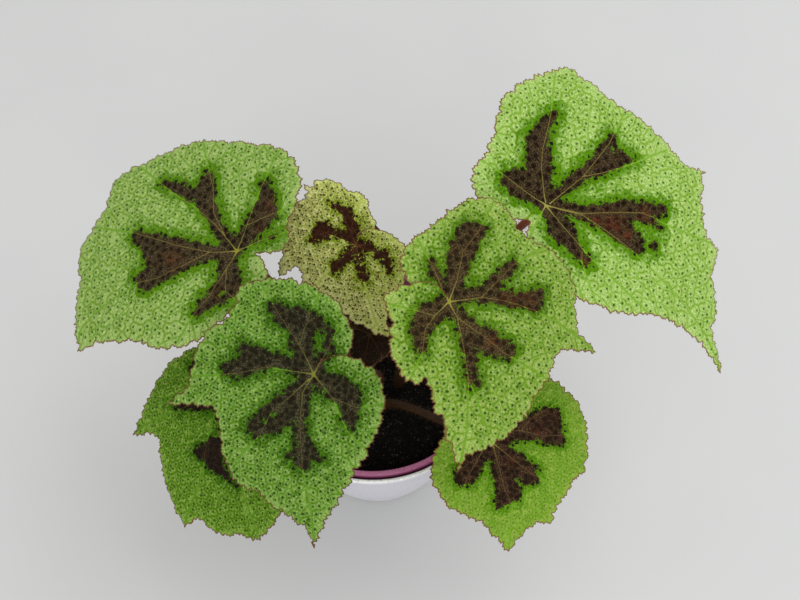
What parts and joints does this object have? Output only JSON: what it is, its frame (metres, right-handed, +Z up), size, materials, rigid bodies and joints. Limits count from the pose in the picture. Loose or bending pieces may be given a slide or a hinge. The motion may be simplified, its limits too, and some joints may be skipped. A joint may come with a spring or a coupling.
{
  "type": "potted iron cross begonia",
  "caption": "Potted begonia with broad bristly leaves, each marked with a dark cross on yellow-green, on slender reddish stalks, in a mauve nursery pot inside a white tapered pot.",
  "frame": {"origin": "centre of the outer pot's flat base, on the surface it stands on", "axes": "+Z up; -Y towards the front of the plant, where the soil shows between the two front leaves; +X to the right seen from the front"},
  "size_m": [0.3197, 0.2125, 0.2301],
  "materials": {
    "outer_pot": "smooth white with a faint lilac tint, satin gloss",
    "nursery_pot": "mauve moulded plastic, slightly matt",
    "soil": "damp dark peat potting soil with fine crumbs and light grit",
    "rhizome": "brown knobbly stem with fine hairs",
    "petiole_a": "reddish-brown stalk covered in fine pale hairs",
    "blade_a": "yellow-green pustulate leaf with dark bristles, a brown-black cross edged in deep green, and a red-brown toothed margin",
    "petiole_b": "reddish-brown stalk covered in fine pale hairs",
    "blade_b": "young tan-green pustulate leaf with a maroon cross and red-brown toothed margin",
    "petiole_c": "reddish-brown stalk covered in fine pale hairs",
    "blade_c": "yellow-green pustulate leaf with dark bristles, a brown-black cross edged in deep green, and a red-brown toothed margin",
    "petiole_d": "reddish-brown stalk covered in fine pale hairs",
    "blade_d": "yellow-green pustulate leaf with dark bristles, a brown-black cross edged in deep green, and a red-brown toothed margin",
    "petiole_e": "reddish-brown stalk covered in fine pale hairs",
    "blade_e": "yellow-green pustulate leaf with dark bristles, a brown-black cross edged in deep green, and a red-brown toothed margin",
    "petiole_f": "reddish-brown stalk covered in fine pale hairs",
    "blade_f": "yellow-green pustulate leaf with dark bristles, a brown-black cross edged in deep green, and a red-brown toothed margin",
    "petiole_g": "reddish-brown stalk covered in fine pale hairs",
    "blade_g": "yellow-green pustulate leaf with dark bristles, a brown-black cross edged in deep green, and a red-brown toothed margin",
    "petiole_h": "reddish-brown stalk covered in fine pale hairs",
    "blade_h": "young maroon leaf, densely hairy"
  },
  "bodies": {
    "root": {"outer_pot": "outer_pot", "nursery_pot": "nursery_pot", "soil": "soil", "rhizome": "rhizome", "petiole_a": "petiole_a", "blade_a": "blade_a", "petiole_b": "petiole_b", "blade_b": "blade_b", "petiole_c": "petiole_c", "blade_c": "blade_c", "petiole_d": "petiole_d", "blade_d": "blade_d", "petiole_e": "petiole_e", "blade_e": "blade_e", "petiole_f": "petiole_f", "blade_f": "blade_f", "petiole_g": "petiole_g", "blade_g": "blade_g", "petiole_h": "petiole_h", "blade_h": "blade_h"}
  },
  "joints": []
}
